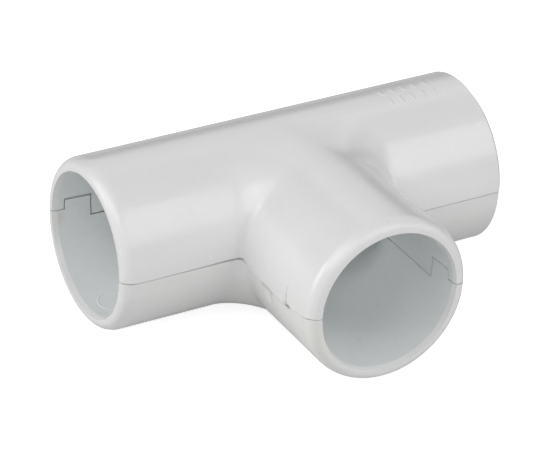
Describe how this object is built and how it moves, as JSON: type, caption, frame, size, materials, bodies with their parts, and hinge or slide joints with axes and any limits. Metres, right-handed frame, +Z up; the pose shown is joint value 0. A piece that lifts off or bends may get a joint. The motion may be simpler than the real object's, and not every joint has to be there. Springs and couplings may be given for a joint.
{
  "type": "conduit inspection tee fitting",
  "caption": "White plastic tee for round conduit, split along its length into a base half and a clip-together cover half, with a plain socket at each end.",
  "frame": {"origin": "middle of the plan box at the height of the underside, so the tee stands on the XY plane", "axes": "+X along the run, -Y out of the branch, +Z up from the base half to the cover half"},
  "size_m": [0.0738, 0.0533, 0.0302],
  "materials": {
    "base_white_pvc": "satin moulded",
    "cover_white_pvc": "satin moulded"
  },
  "bodies": {
    "base": {"base_half": "base_white_pvc"},
    "cover": {"cover_half": "cover_white_pvc"}
  },
  "joints": [
    {"name": "cover_lift", "type": "slide", "parent": "base", "child": "cover", "axis": [0, 0, 1], "range_m": [0, 0.04]}
  ]
}
